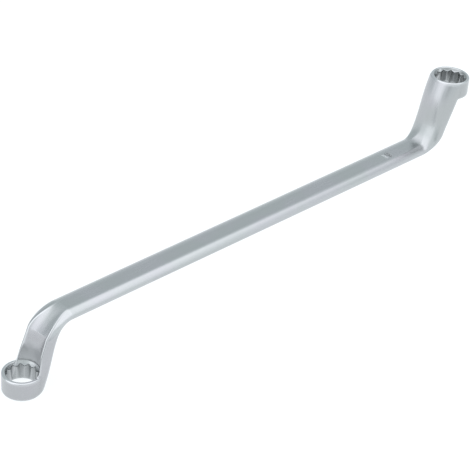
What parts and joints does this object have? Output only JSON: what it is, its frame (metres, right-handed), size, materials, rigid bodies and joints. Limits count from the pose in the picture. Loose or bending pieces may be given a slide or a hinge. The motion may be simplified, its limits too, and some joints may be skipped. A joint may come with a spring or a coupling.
{
  "type": "double ring spanner",
  "caption": "Deep-offset ring spanner with a bi-hexagon socket at each end of a flat shank, for turning recessed nuts and bolts.",
  "frame": {"origin": "centre of the spanner's bounding box", "axes": "+X along the shank from the smaller ring to the larger ring, +Y across the shank, +Z parallel to both socket axes, towards the larger ring's side"},
  "size_m": [0.4118, 0.0282, 0.0948],
  "materials": {
    "chromed_steel": "satin chrome plate on a drop forging"
  },
  "bodies": {
    "root": {"double_ring_spanner": "chromed_steel"}
  },
  "joints": []
}
